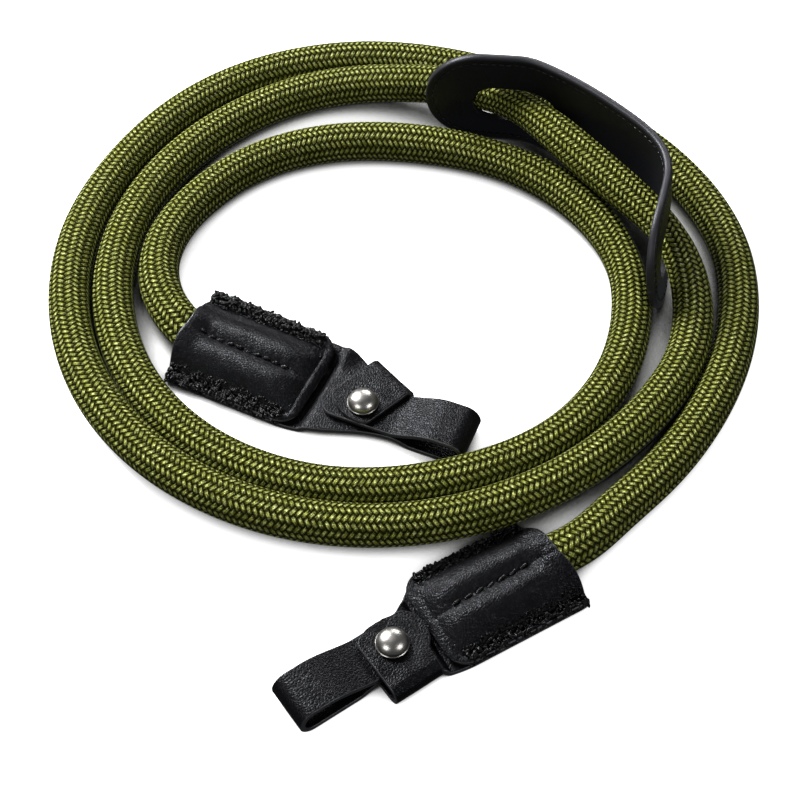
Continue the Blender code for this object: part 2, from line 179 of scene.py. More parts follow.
# Both tabs, each in its own frame: u runs from the sleeve's mouth along the strap, v to its left
tabSpecs = {
    "a": {
        # place of the mouth, direction, and how far the strap turns from it
        "x": -62.5, "y": 17.0, "heading": -25.5, "bend": 3.0,
        # stud, outer end of the loop, and how far behind the stud the return ends
        "stud": 51.5, "studAcross": -1.8, "loop": 81.0, "tip": 11.0,
        # keeper: its turn and shift on the strap, its fold and its free end
        "skew": 26.0, "slide": -1.7, "fold": 13.0, "open": 5.5,
        # sleeve: lifted edge, spare width, creases, rim, slant of the mouth, stitches in the valley
        "lift": 3.2, "wider": 1.0, "creases": 0.0, "rim": 0.5, "slant": 0.0,
        "stitchFrom": 4.6, "stitchTo": 28.5, "stitches": 10,
        # outline of the base leather: u, half width left, half width right
        "edges": [
            (32, 13.5, 13.5), (34, 13.5, 13.4), (37, 13.4, 13.0), (40, 13.4, 12.3), (44, 13.3, 11.2),
            (46.5, 12.6, 10.3), (49, 10.4, 9.5), (52, 8.0, 8.4), (56, 6.2, 7.4), (60, 5.8, 6.8),
        ],
    },
    "b": {
        "x": 31.5, "y": -50.5, "heading": 210.0, "bend": 5.0,
        "stud": 47.5, "studAcross": 1.0, "loop": 76.5, "tip": 9.9,
        "skew": 0.0, "slide": 0.0, "fold": 11.8, "open": 7.0,
        "lift": 0.0, "wider": 0.0, "creases": 1.0, "rim": 0.22, "slant": 3.6,
        "stitchFrom": 4.2, "stitchTo": 29.0, "stitches": 9,
        "edges": [
            (32, 13.5, 13.5), (34, 13.4, 12.8), (37, 13.0, 10.6), (39, 12.6, 8.8), (40.3, 12.0, 7.6),
            (42, 9.6, 6.4), (45, 7.0, 5.9), (49, 6.2, 5.9), (54, 6.0, 5.9),
        ],
    },
}
leather = {
    "base": 1.4, "wall": 1.2, "keeperWall": 1.1, "gap": 0.3,  # thicknesses, and the air between layers
    "sleeve": 37.0, "width": 27.0, "corner": 5.5, "slantOver": 26.0,
    "strap": 11.0, "strapStart": 9.0, "keeper": 13.5,
    "liftReach": 6.5, "liftSpread": 0.2, "liftLoss": 0.3,  # sleeve A's left edge stands off the floor
}


def tabPlace(tab, u, v, z):
    # point in the frame of a tab, which turns a little where the strap starts
    u, v, z = np.broadcast_arrays(np.asarray(u, float), np.asarray(v, float), np.asarray(z, float))
    turnAt = leather["sleeve"] + leather["strapStart"] / 2.0
    heading = math.radians(tab["heading"])
    along = np.minimum(u, turnAt)
    turned = heading + math.radians(tab["bend"]) * smoothStep((u - leather["sleeve"]) / leather["strapStart"])
    beyond = np.maximum(u - turnAt, 0.0)
    x = tab["x"] + along * math.cos(heading) + beyond * np.cos(turned) - v * np.sin(turned)
    y = tab["y"] + along * math.sin(heading) + beyond * np.sin(turned) + v * np.cos(turned)
    return np.stack([x, y, z], axis=-1)


def edgeLift(tab, u, v):
    # how far the leather's left edge is off the floor
    reach = leather["liftReach"]
    rise = smoothStep((v - (leather["width"] / 2.0 - reach)) / reach)
    fade = (1.0 - leather["liftLoss"] * smoothStep(u / leather["sleeve"])
            - (1.0 - leather["liftLoss"]) * smoothStep((u - leather["sleeve"]) / leather["strapStart"]))
    return tab["lift"] * rise * np.maximum(fade, 0.0)


def halfWidth(tab, u, side):
    # half the sleeve's width, round at its front corners
    half = leather["width"] / 2.0 + np.where(side > 0.0, tab["wider"], 0.0)
    corner = leather["corner"]
    into = np.clip(u - (leather["sleeve"] - corner), 0.0, corner)
    return half - (corner - np.sqrt(corner ** 2 - into ** 2))


def keeperSpan(tab):
    # where the keeper starts and ends along the strap
    turn = math.radians(tab["skew"])
    spots = []
    for along in (tab["slide"] - leather["keeper"] / 2.0, tab["slide"] + leather["keeper"] / 2.0):
        for edge in (-leather["strap"] / 2.0, leather["strap"] / 2.0):
            across = (edge - tab["studAcross"] + along * math.sin(turn)) / math.cos(turn)
            across = min(max(across, -tab["open"]), tab["fold"])
            spots.append(tab["stud"] + along * math.cos(turn) + across * math.sin(turn))
    return min(spots), max(spots)


def keeperPlace(tab, along, across, z):
    turn = math.radians(tab["skew"])
    slid = along + tab["slide"]
    u = tab["stud"] + slid * math.cos(turn) + across * math.sin(turn)
    v = tab["studAcross"] + across * math.cos(turn) - slid * math.sin(turn)
    return tabPlace(tab, u, v, z)


def mouthSlant(tab, u, v):
    # the mouth may be cut at an angle
    return tab["slant"] * (0.5 - v / leather["width"]) * (1.0 - smoothStep(u / leather["slantOver"]))


# Sleeve over the rope's end, with a stitched valley between its two ridges
sleeveSpec = {
    # height at the mouth and behind it, width and form of the arch
    "mouth": 11.0, "height": 9.8, "body": 22.5, "archPower": 2.4, "blend": (-0.045, -0.015, 0.015, 0.045),
    # wide valley and the narrow groove in it
    "valley": 2.0, "valleyShare": 0.14, "groove": 0.55, "grooveHalf": 1.2,
    # what thread and wear do to the skin
    "pull": 0.32, "pucker": 0.05, "endFold": 0.16, "crease": 0.10, "swell": 0.10,
    "rimAt": 1.1, "rimGroove": 0.10, "rimGrooveAt": 2.5,
    # share of the length, height of the arch, depth of the valley
    "sections": [
        (0.00, 1.00, 0.10), (0.08, 1.00, 0.35), (0.20, 1.00, 1.00), (0.50, 0.98, 1.00), (0.70, 0.93, 1.00),
        (0.82, 0.80, 0.80), (0.91, 0.46, 0.35), (0.97, 0.08, 0.00), (1.00, 0.00, 0.00),
    ],
}


def valleyStep(tab):
    return (tab["stitchTo"] - tab["stitchFrom"]) / (tab["stitches"] - 1)


def sleeveMiddle(tab, u, v):
    # height of the sleeve's middle surface
    spec = sleeveSpec
    share = u / leather["sleeve"]
    wall = leather["wall"]
    low = leather["base"] + leather["gap"] + wall / 2.0
    high = spec["mouth"] + (spec["height"] - spec["mouth"]) * smoothStep(share / 0.15) - wall / 2.0
    arch = np.maximum(1.0 - (np.abs(v) / (spec["body"] / 2.0)) ** spec["archPower"], 0.0)
    full = sum(tableValue(spec["sections"], share + shift, 1) for shift in spec["blend"]) / len(spec["blend"])
    depth = tableValue(spec["sections"], share, 2)
    z = low + (high - low) * arch * full
    z = z - spec["valley"] * depth * np.exp(-(v / (spec["valleyShare"] * spec["body"])) ** 2)
    z = z - spec["groove"] * depth * np.exp(-(v / spec["grooveHalf"]) ** 2)
    # the valley's thread pulls the skin in at each stitch and folds it a little at both ends
    phase = (u - tab["stitchFrom"]) / valleyStep(tab)
    near = smoothStep((u - tab["stitchFrom"] + 2.0) / 2.0) * smoothStep((tab["stitchTo"] + 2.0 - u) / 2.0)
    z = z - (spec["pull"] * near * np.exp(-(v / 0.7) ** 2)
             * (0.5 - 0.5 * np.cos(2.0 * math.pi * (phase - 0.5))))
    z = z + (spec["pucker"] * near * np.exp(-((np.abs(v) - 1.6) / 0.9) ** 2)
             * np.cos(2.0 * math.pi * phase + 1.0))
    for end, way in ((tab["stitchFrom"] - 1.2, -1.0), (tab["stitchTo"] + 1.2, 1.0)):
        fold = np.exp(-((u - end - way * 1.5) / 2.2) ** 2) * np.exp(-(v / 2.2) ** 2)
        z = z + spec["endFold"] * fold * np.sin(v * 2.6 + u * 0.7)
    # creases beside the mouth and a slow swell over the body
    crease = tab["creases"] * np.exp(-((u - 4.0) / 4.5) ** 2) * np.exp(-((v + 3.6) / 3.4) ** 2)
    z = z + spec["crease"] * crease * wave(u * 3.1, v * 1.7)
    body = smoothStep((1.0 - np.abs(v) / 9.5) / 0.3) * smoothStep((33.0 - u) / 4.0)
    z = z + spec["swell"] * body * wave(u * 0.7, v * 0.8)
    # raised rim at the front, with the groove of its stitches
    half = halfWidth(tab, u, v)
    fromFront = np.minimum(leather["sleeve"] - u, np.where(u > 29.0, half - np.abs(v), 99.0))
    front = smoothStep((u - 27.5) / 3.0)
    ridge = np.exp(-((fromFront - spec["rimAt"]) / 0.75) ** 4)
    z = z + tab["rim"] * front * ridge * (1.0 + 0.10 * np.sin((u + v) * 4.6))
    z = z - spec["rimGroove"] * front * np.exp(-((fromFront - spec["rimGrooveAt"]) / 0.45) ** 2)
    return z + (1.0 + leather["liftSpread"]) * edgeLift(tab, u, v)


# Shoulder pad on its edge: line of its upper outer edge, with heading and lean at shares of its length
padSpec = {
    "x": 0.0, "y": 95.8, "length": 117.0, "width": 32.0, "wall": 2.2, "rounding": 0.45,
    "slots": [(13.8, 26.7), (84.0, 24.0)],  # start and length of each
    "slotHeight": 12.2, "slotRise": 8.4,
    "seam": 2.3, "seamDepth": 0.3, "thinEdge": 0.5, "swell": 0.12,
    "headings": [
        (0.00, -3), (0.10, -4), (0.22, -5), (0.28, -30), (0.34, -36), (0.46, -44),
        (0.57, -49), (0.64, -62), (0.71, -86), (0.77, -104), (0.89, -108), (1.00, -108),
    ],
    "leans": [(0.00, 2), (0.30, 0), (0.60, 2), (0.75, 6), (1.00, 12)],
}


def padLine():
    steps = 1200
    shares = np.linspace(0.0, 1.0, steps + 1)
    headings = np.radians(tableValue(padSpec["headings"], shares))
    middle = (headings[1:] + headings[:-1]) / 2.0
    step = padSpec["length"] / steps
    x = padSpec["x"] + np.concatenate([[0.0], np.cumsum(np.cos(middle))]) * step
    y = padSpec["y"] + np.concatenate([[0.0], np.cumsum(np.sin(middle))]) * step
    return shares * padSpec["length"], x, y, headings


padTrack = padLine()


def padPlace(s, w, out=0.0):
    # point on the pad: s along it, w up its face, out from its middle
    s, w, out = np.broadcast_arrays(np.asarray(s, float), np.asarray(w, float), np.asarray(out, float))
    heading = np.interp(s, padTrack[0], padTrack[3])
    lean = np.radians(tableValue(padSpec["leans"], np.clip(s / padSpec["length"], 0.0, 1.0)))
    inX, inY = np.sin(heading), -np.cos(heading)
    wall = padSpec["wall"]
    push = wall / 2.0 + (w - padSpec["width"]) * np.sin(lean) - out * np.cos(lean)
    x = np.interp(s, padTrack[0], padTrack[1]) + inX * push
    y = np.interp(s, padTrack[0], padTrack[2]) + inY * push
    return np.stack([x, y, wall / 2.0 * np.sin(lean) + w * np.cos(lean) + out * np.sin(lean)], axis=-1)


class Shader:
    # short way to write a material's nodes
    def __init__(self, name):
        self.material = bpy.data.materials.new(name)
        self.material.use_nodes = True
        self.tree = self.material.node_tree
        self.bsdf = self.tree.nodes["Principled BSDF"]

    def node(self, kind, **values):
        made = self.tree.nodes.new(kind)
        for key, value in values.items():
            setattr(made, key, value)
        return made

    def join(self, value, socket):
        if isinstance(value, bpy.types.NodeSocket):
            self.tree.links.new(value, socket)
        else:
            socket.default_value = value

    def math(self, operation, a, b=0.0, c=0.0):
        made = self.node("ShaderNodeMath", operation=operation)
        for value, socket in zip((a, b, c), made.inputs):
            self.join(value, socket)
        return made.outputs[0]

    def mix(self, factor, a, b):
        made = self.node("ShaderNodeMix", data_type="RGBA")
        self.join(factor, made.inputs["Factor"])
        self.join(a, made.inputs[6])
        self.join(b, made.inputs[7])
        return made.outputs[2]

    def scaled(self, value, low, high, start=0.0, end=1.0, **values):
        made = self.node("ShaderNodeMapRange", **values)
        self.join(value, made.inputs["Value"])
        for name, number in (("From Min", start), ("From Max", end), ("To Min", low), ("To Max", high)):
            made.inputs[name].default_value = number
        return made.outputs[0]

    def coords(self):
        return self.node("ShaderNodeTexCoord").outputs["Object"]

    def placed(self, place=(0.0, 0.0, 0.0), turn=0.0, scale=(1.0, 1.0, 1.0)):
        # the same coordinates, scaled, turned and moved
        made = self.node("ShaderNodeMapping")
        self.join(self.coords(), made.inputs["Vector"])
        made.inputs["Location"].default_value = place
        made.inputs["Rotation"].default_value = (0.0, 0.0, math.radians(turn))
        made.inputs["Scale"].default_value = scale
        return made.outputs[0]

    def layParts(self):
        # the piece's own UV map, as two numbers
        parts = self.node("ShaderNodeSeparateXYZ")
        self.join(self.node("ShaderNodeUVMap", uv_map="lay").outputs[0], parts.inputs[0])
        return parts.outputs[0], parts.outputs[1]

    def noise(self, scale, detail=3.0, vector=None):
        made = self.node("ShaderNodeTexNoise")
        made.inputs["Scale"].default_value = scale
        made.inputs["Detail"].default_value = detail
        if vector is not None:
            self.join(vector, made.inputs["Vector"])
        return made.outputs["Fac"]

    def shared(self, name, value):
        # a value that is the same all over goes on the shader's own socket
        self.bsdf.inputs[name].default_value = value

    def relief(self, height, distance):
        made = self.node("ShaderNodeBump")
        made.inputs["Strength"].default_value = 1.0
        made.inputs["Distance"].default_value = distance * mm
        self.join(height, made.inputs["Height"])
        self.join(made.outputs[0], self.bsdf.inputs["Normal"])


# Round braid of fine shiny yarns
braidLook = {
    # of the colours below, the first is painted shade between the yarns, the second the yarn's own colour,
    # the third a painted highlight on their crowns, and the fourth painted glints
    "paintedCreviceShade": (0.010, 0.010, 0.001, 1.0), "mid": (0.110, 0.128, 0.011, 1.0), "pale": (0.52, 0.54, 0.085, 1.0),
    "paintedGlint": (0.80, 0.84, 0.36, 1.0), "sheen": (0.85, 0.90, 0.36, 1.0),
    "over": 2.0,  # each yarn passes over this many others
    "strands": 14.0, "strandDepth": 0.08, "waver": 9.0, "waverScale": 900.0, "paintedGlintScale": 2300.0,
    "patchPlace": (31.892, 19.642, 0.144), "patchScale": (315.232, 321.273, 2652.201),
    "roughness": (0.22, 0.42), "specular": 0.6, "relief": 0.9,
}


def braidMaterial():
    # each float of the braid is a small pillow, made from the rope's own length and turn
    look = braidLook
    sh = Shader("braidedYarn")
    along, around = sh.layParts()
    over, repeat = look["over"], 2.0 * look["over"]
    a = sh.math("ADD", around, along)
    b = sh.math("SUBTRACT", around, along)
    floorA, floorB = sh.math("FLOOR", a), sh.math("FLOOR", b)
    placeA = sh.math("FLOORED_MODULO", sh.math("ADD", a, floorB), repeat)
    placeB = sh.math("FLOORED_MODULO", sh.math("ADD", sh.math("ADD", b, floorA), over), repeat)
    isA = sh.math("LESS_THAN", placeA, over)
    isB = sh.math("SUBTRACT", 1.0, isA)

    def pick(valueA, valueB):
        return sh.math("MULTIPLY_ADD", isA, valueA, sh.math("MULTIPLY", isB, valueB))

    def arched(value, power):
        return sh.math("POWER", sh.math("SINE", sh.math("MULTIPLY", value, math.pi)), power)

    def counted(run, other):
        return sh.math("FLOOR", sh.math("DIVIDE", sh.math("ADD", run, other), repeat))

    length = sh.math("MULTIPLY", pick(placeA, placeB), 1.0 / over)
    width = pick(sh.math("FRACT", b), sh.math("FRACT", a))
    pillow = sh.math("MULTIPLY", arched(length, 1.15), arched(width, 0.65))
    # one random tone for each float, by its yarn and its place along that yarn
    cell = sh.node("ShaderNodeCombineXYZ")
    sh.join(pick(floorB, sh.math("ADD", floorA, 71.3)), cell.inputs[0])
    sh.join(pick(counted(a, floorB), counted(b, floorA)), cell.inputs[1])
    tone = sh.node("ShaderNodeTexWhiteNoise", noise_dimensions="3D")
    sh.join(cell.outputs[0], tone.inputs["Vector"])
    waver = sh.noise(look["waverScale"], 2.0, sh.coords())
    strand = sh.math("SINE", sh.math("ADD", sh.math("MULTIPLY", width, look["strands"]),
                                     sh.math("MULTIPLY", waver, look["waver"])))
    height = sh.math("MULTIPLY_ADD", strand, look["strandDepth"],
                     sh.math("MULTIPLY", pillow, sh.scaled(tone.outputs["Value"], 0.82, 1.1)))
    # painted shade between the yarns, painted highlight on their crowns, painted glints on top, and slow
    # patches of tone
    colour = sh.mix(sh.math("POWER", pillow, 1.35), look["paintedCreviceShade"], look["mid"])
    # painted highlight: pale on each float's crown, stronger or weaker by its random tone and its strands
    light = sh.math("MULTIPLY", sh.math("POWER", pillow, 3.0), sh.scaled(tone.outputs["Value"], 0.15, 1.4))
    light = sh.math("MULTIPLY", light, sh.scaled(strand, 0.15, 1.0))
    colour = sh.mix(light, colour, look["pale"])
    # painted glints: pale specks from fine noise, only on the crowns
    paintedGlint = sh.math("SUBTRACT", sh.noise(look["paintedGlintScale"], 1.0, sh.coords()), 0.50)
    paintedGlint = sh.math("MAXIMUM", sh.math("MINIMUM", sh.math("MULTIPLY", paintedGlint, 6.0), 1.0), 0.0)
    paintedGlint = sh.math("MULTIPLY", paintedGlint, sh.math("POWER", pillow, 1.6))
    colour = sh.mix(sh.math("MULTIPLY", paintedGlint, 0.85), colour, look["paintedGlint"])
    patch = sh.placed(look["patchPlace"], scale=look["patchScale"])
    patch = sh.scaled(sh.noise(1.0, 2.0, patch), -0.2, 0.4)
    colour = sh.mix(sh.math("MULTIPLY", patch, pillow), colour, look["mid"])
    sh.join(colour, sh.bsdf.inputs["Base Color"])
    sh.join(sh.scaled(waver, *look["roughness"]), sh.bsdf.inputs["Roughness"])
    sh.join(sh.math("MULTIPLY", sh.math("POWER", pillow, 1.5), look["specular"]),
            sh.bsdf.inputs["Specular IOR Level"])
    sh.shared("Specular Tint", look["sheen"])
    sh.relief(height, look["relief"])
    return sh.material


# Leathers: size of a pebble and depth of its relief in millimetres, then roughness, gloss and colours
leatherLooks = {
    "nappa": {"grain": 0.54, "depth": 0.105, "rough": 0.31, "gloss": 0.19,
              "dark": (0.0012, 0.0012, 0.0015), "light": (0.0045, 0.0045, 0.006)},
    "strapGrain": {"grain": 0.64, "depth": 0.092, "rough": 0.31, "gloss": 0.155,
                   "dark": (0.0012, 0.0012, 0.0015), "light": (0.005, 0.005, 0.006)},
    "padLeather": {"grain": 0.40, "depth": 0.03, "rough": 0.34, "gloss": 0.34,
                   "dark": (0.003, 0.003, 0.004), "light": (0.008, 0.008, 0.011),
                   # the paler rim colour below is partly rubbed wear, partly a painted highlight
                   "rubbedAndHighlight": (0.019, 0.019, 0.022), "rubbedAndHighlightFrom": 1.1, "rubbedAndHighlightTo": 0.5},
    # cut edges are lighter than the faces: partly their burnished finish, partly painted highlight lines
    "cutEdgeFinishAndHighlight": {"grain": 0.5, "depth": 0.03, "rough": 0.36, "gloss": 0.9,
                "dark": (0.015, 0.015, 0.016), "light": (0.050, 0.050, 0.053)},
}
grainStretch = {"nappaA": (1.0, 0.8, 1.0), "nappaB": (1.0, 0.8, 1.0), "strapGrainB": (0.85, 1.0, 1.0)}


def leatherMaterial(kind, key="", turn=0.0):
    look = leatherLooks[kind]
    sh = Shader(kind + key)
    lay = sh.placed(turn=turn, scale=grainStretch.get(kind + key, (1.0, 1.0, 1.0)))
    # pebbles with slightly bent creases between them
    warp = sh.node("ShaderNodeTexNoise")
    warp.inputs["Scale"].default_value = 500.0
    sh.join(lay, warp.inputs["Vector"])
    bent = sh.node("ShaderNodeMix", data_type="VECTOR")
    bent.inputs["Factor"].default_value = 0.0002
    sh.join(lay, bent.inputs[4])
    sh.join(warp.outputs["Color"], bent.inputs[5])
    cells = sh.node("ShaderNodeTexVoronoi", feature="DISTANCE_TO_EDGE")
    cells.inputs["Scale"].default_value = 1000.0 / look["grain"]
    sh.join(bent.outputs[1], cells.inputs["Vector"])
    pebble = sh.math("MINIMUM", sh.math("MULTIPLY", cells.outputs["Distance"], 1.7), 1.0)
    pebble = sh.math("POWER", pebble, 0.7)
    fine = sh.noise(3200.0, 3.0, lay)
    broad = sh.noise(90.0, 2.0, sh.coords())
    height = sh.math("MULTIPLY_ADD", fine, 0.30, pebble)
    colour = sh.mix(sh.math("MULTIPLY", sh.scaled(broad, 0.2, 0.8), pebble),
                    (*look["dark"], 1.0), (*look["light"], 1.0))
    if "rubbedAndHighlight" in look:
        # cut edge paler, by the distance from the outline in millimetres: partly rubbed wear, partly a
        # painted highlight along the rim
        pale = sh.scaled(sh.layParts()[0], 0.0, 1.0, look["rubbedAndHighlightFrom"], look["rubbedAndHighlightTo"],
                         interpolation_type="SMOOTHSTEP")
        colour = sh.mix(pale, colour, (*look["rubbedAndHighlight"], 1.0))
    sh.join(colour, sh.bsdf.inputs["Base Color"])
    sh.join(sh.math("ADD", sh.scaled(broad, look["rough"] - 0.07, look["rough"] + 0.07),
                    sh.math("MULTIPLY", fine, 0.08)), sh.bsdf.inputs["Roughness"])
    sh.shared("Specular IOR Level", look["gloss"])
    sh.shared("Specular Tint", (0.90, 0.92, 1.0, 1.0))
    sh.relief(height, look["depth"])
    return sh.material


def threadMaterial(name, colour, roughness):
    sh = Shader(name)
    twist = sh.node("ShaderNodeTexWave", wave_type="BANDS", bands_direction="DIAGONAL")
    twist.inputs["Scale"].default_value = 900.0
    twist.inputs["Distortion"].default_value = 2.5
    sh.join(sh.coords(), twist.inputs["Vector"])
    sh.join(sh.mix(twist.outputs["Fac"], (*[c * 0.4 for c in colour], 1.0), (*colour, 1.0)),
            sh.bsdf.inputs["Base Color"])
    sh.shared("Roughness", roughness)
    sh.shared("Specular IOR Level", 0.35)
    sh.relief(twist.outputs["Fac"], 0.12)
    return sh.material


def metalMaterial():
    sh = Shader("polishedStud")
    haze = sh.noise(700.0, 4.0, sh.coords())
    sh.join(sh.mix(haze, (0.46, 0.44, 0.41, 1.0), (0.60, 0.58, 0.55, 1.0)), sh.bsdf.inputs["Base Color"])
    sh.shared("Metallic", 1.0)
    sh.join(sh.scaled(haze, 0.26, 0.36), sh.bsdf.inputs["Roughness"])
    sh.relief(haze, 0.015)
    return sh.material


# One bead of thread, seen from close by
beadSpec = {"segments": 10, "rings": 7}


def stitchTree():
    # beads of thread along a line, each moved, turned and sized a little by chance
    tree = bpy.data.node_groups.new("stitchRow", "GeometryNodeTree")
    tree.interface.new_socket("Line", in_out="INPUT", socket_type="NodeSocketGeometry")
    tree.interface.new_socket("Stitches", in_out="OUTPUT", socket_type="NodeSocketGeometry")
    for name in ("Spacing", "Jitter", "Turn", "Wobble", "Spread"):
        tree.interface.new_socket(name, in_out="INPUT", socket_type="NodeSocketFloat")
    tree.interface.new_socket("Size", in_out="INPUT", socket_type="NodeSocketVector")
    tree.interface.new_socket("Seed", in_out="INPUT", socket_type="NodeSocketInt")
    tree.interface.new_socket("Thread", in_out="INPUT", socket_type="NodeSocketMaterial")

    def node(kind, **values):
        made = tree.nodes.new(kind)
        for key, value in values.items():
            setattr(made, key, value)
        return made

    def link(a, b):
        tree.links.new(a, b)

    given = node("NodeGroupInput").outputs
    line = node("GeometryNodeMeshToCurve")
    link(given["Line"], line.inputs["Mesh"])
    even = node("GeometryNodeResampleCurve", mode="LENGTH")
    link(line.outputs[0], even.inputs["Curve"])
    link(given["Spacing"], even.inputs["Length"])
    throw = node("FunctionNodeRandomValue", data_type="FLOAT_VECTOR")
    throw.inputs[0].default_value = (-1.0, -1.0, -1.0)
    link(given["Seed"], throw.inputs["Seed"])
    reach = node("ShaderNodeVectorMath", operation="SCALE")
    link(throw.outputs[0], reach.inputs[0])
    link(given["Jitter"], reach.inputs["Scale"])
    along = node("FunctionNodeAlignRotationToVector", axis="X")
    link(node("GeometryNodeInputTangent").outputs[0], along.inputs["Vector"])
    swing = node("FunctionNodeRandomValue", data_type="FLOAT")
    swing.inputs[2].default_value = -1.0
    link(given["Seed"], swing.inputs["Seed"])
    wobble = node("ShaderNodeMath", operation="MULTIPLY_ADD")
    link(swing.outputs[1], wobble.inputs[0])
    link(given["Wobble"], wobble.inputs[1])
    link(given["Turn"], wobble.inputs[2])
    turn = node("ShaderNodeCombineXYZ")
    link(wobble.outputs[0], turn.inputs[2])
    euler = node("FunctionNodeEulerToRotation")
    link(turn.outputs[0], euler.inputs[0])
    rotation = node("FunctionNodeRotateRotation", rotation_space="LOCAL")
    link(along.outputs[0], rotation.inputs[0])
    link(euler.outputs[0], rotation.inputs[1])
    grow = node("FunctionNodeRandomValue", data_type="FLOAT")
    link(given["Seed"], grow.inputs["Seed"])
    growth = node("ShaderNodeMath", operation="MULTIPLY_ADD")
    link(grow.outputs[1], growth.inputs[0])
    link(given["Spread"], growth.inputs[1])
    growth.inputs[2].default_value = 1.0
    size = node("ShaderNodeVectorMath", operation="SCALE")
    link(given["Size"], size.inputs[0])
    link(growth.outputs[0], size.inputs["Scale"])
    bead = node("GeometryNodeMeshUVSphere")
    bead.inputs["Segments"].default_value = beadSpec["segments"]
    bead.inputs["Rings"].default_value = beadSpec["rings"]
    bead.inputs["Radius"].default_value = 0.5
    moved = node("GeometryNodeSetPosition")
    link(even.outputs[0], moved.inputs["Geometry"])
    link(reach.outputs[0], moved.inputs["Offset"])
    put = node("GeometryNodeInstanceOnPoints")
    link(moved.outputs[0], put.inputs["Points"])
    link(bead.outputs[0], put.inputs["Instance"])
    link(rotation.outputs[0], put.inputs["Rotation"])
    link(size.outputs[0], put.inputs["Scale"])
    real = node("GeometryNodeRealizeInstances")
    link(put.outputs[0], real.inputs[0])
    smooth = node("GeometryNodeSetShadeSmooth")
    link(real.outputs[0], smooth.inputs["Geometry"])
    dress = node("GeometryNodeSetMaterial")
    link(smooth.outputs[0], dress.inputs["Geometry"])
    link(given["Thread"], dress.inputs["Material"])
    link(dress.outputs[0], node("NodeGroupOutput").inputs[0])
    return tree


def stitchRow(name, points, spec, thread):
    # points in millimetres; the row becomes one plain mesh
    line = bpy.data.meshes.new(name + "Line")
    line.from_pydata((np.asarray(points) * mm).tolist(), [(i, i + 1) for i in range(len(points) - 1)], [])
    guide = linkObject(name + "Line", line)
    row = guide.modifiers.new("stitches", "NODES")
    row.node_group = stitchNodes
    values = {
        "Spacing": spec["spacing"] * mm, "Jitter": spec["jitter"] * mm, "Spread": spec.get("spread", 0.0),
        "Turn": math.radians(spec["turn"]), "Wobble": math.radians(spec["wobble"]),
        "Size": [part * mm for part in spec["size"]], "Seed": spec["seed"], "Thread": thread,
    }
    for item in stitchNodes.interface.items_tree:
        if item.name in values:
            row[item.identifier] = values[item.name]
    mesh = plainMesh(guide)
    bpy.data.objects.remove(guide)
    return linkObject(name, mesh)


def joined(name, pieces, thread):
    work = bmesh.new()
    for piece in pieces:
        work.from_mesh(piece.data)
    mesh = bpy.data.meshes.new(name)
    work.to_mesh(mesh)
    work.free()
    mesh.shade_smooth()
    mesh.materials.append(thread)
    for piece in pieces:
        bpy.data.objects.remove(piece)
    return linkObject(name, mesh)


# Braided rope: its centre line from the mouth of tab A to the mouth of tab B
ropeSpec = {
    "diameter": 11.0,
    "knots": [
        (-66.0, 21.5, 5.5), (-70.0, 29.5, 5.5), (-72.5, 42.0, 5.5), (-67.5, 57.0, 5.5),
        (-57.0, 71.0, 5.5), (-34.5, 84.0, 5.5), (-1.0, 85.5, 5.5), (30.5, 74.0, 5.5),
        (51.5, 48.0, 5.5), (53.0, 15.0, 5.5), (36.5, -13.5, 5.5), (7.0, -29.0, 5.5),
        (-29.0, -31.0, 5.5), (-61.0, -15.5, 5.5), (-79.0, 10.0, 5.5), (-84.0, 41.5, 5.5),
        (-73.5, 73.5, 5.5), (-53.5, 95.5, 5.5), (-28.0, 107.5, 6.0), (-3.0, 106.0, 9.5),
        (18.0, 98.0, 13.5), (35.0, 80.5, 17.0), (51.0, 61.0, 16.5), (66.0, 40.5, 14.5),
        (69.5, 15.5, 8.0), (56.5, -9.5, 7.0), (33.0, -30.5, 7.5), (-0.5, -43.0, 7.5),
        (-36.5, -41.0, 7.5), (-68.0, -24.5, 7.5), (-89.0, 4.0, 7.0), (-95.5, 41.5, 6.5),
        (-84.0, 79.5, 5.5), (-57.0, 108.5, 5.5), (-19.0, 120.0, 5.5), (24.0, 111.5, 5.5),
        (60.0, 87.5, 5.5), (82.5, 48.0, 5.5), (64.5, -19.0, 5.5), (34.5, -49.0, 5.5),
    ],
    "inside": 11.0,  # how far each end runs into its sleeve
    "rings": 1400, "sides": 64,
    "pitch": 1.57, "columns": 16,  # length of one step of the braid, and the steps round the rope
    "relief": 0.006, "swells": ((0.006, 0.11, 0.0), (0.004, 0.043, 1.0)),
    "squeeze": 0.16, "reach": 15.0,  # how much a slot pinches the rope, and how far that is felt
    "flatFrom": 8.5, "flatOver": 8.0, "flatter": 0.34, "wider": 0.08,  # its ends in the sleeves
    "air": 0.25, "airBelow": 0.1,
}


def ropePath():
    # the laid route, carried on a little into each sleeve
    axis = ropeSpec["diameter"] / 2.0
    route = naturalCubic(ropeSpec["knots"], 2400)
    route[:, 2] = np.maximum(route[:, 2], axis)
    into = np.array([2.5, 6.0, ropeSpec["inside"]])
    endA, endB = [tabPlace(tab, into, 0.0, axis) for tab in tabSpecs.values()]
    whole = np.concatenate([endA[::-1], route[::30], route[-1:], endB])
    return naturalCubic(whole, ropeSpec["rings"])


def pressInside(tab, verts):
    # keep the rope between the base leather and the underside of the sleeve
    heading = math.radians(tab["heading"])
    dx, dy = verts[:, :, 0] - tab["x"], verts[:, :, 1] - tab["y"]
    u = dx * math.cos(heading) + dy * math.sin(heading)
    v = dy * math.cos(heading) - dx * math.sin(heading)
    within = (u > -0.5) & (u < 30.0) & (np.abs(v) < 9.0) & (verts[:, :, 2] < 12.0)
    roof = sleeveMiddle(tab, np.maximum(u, 0.0), v) - leather["wall"] / 2.0 - ropeSpec["air"]
    low = leather["base"] + ropeSpec["airBelow"]
    pressed = np.where(verts[:, :, 2] < low, low, np.minimum(verts[:, :, 2], roof))
    verts[:, :, 2] = np.where(within, pressed, verts[:, :, 2])


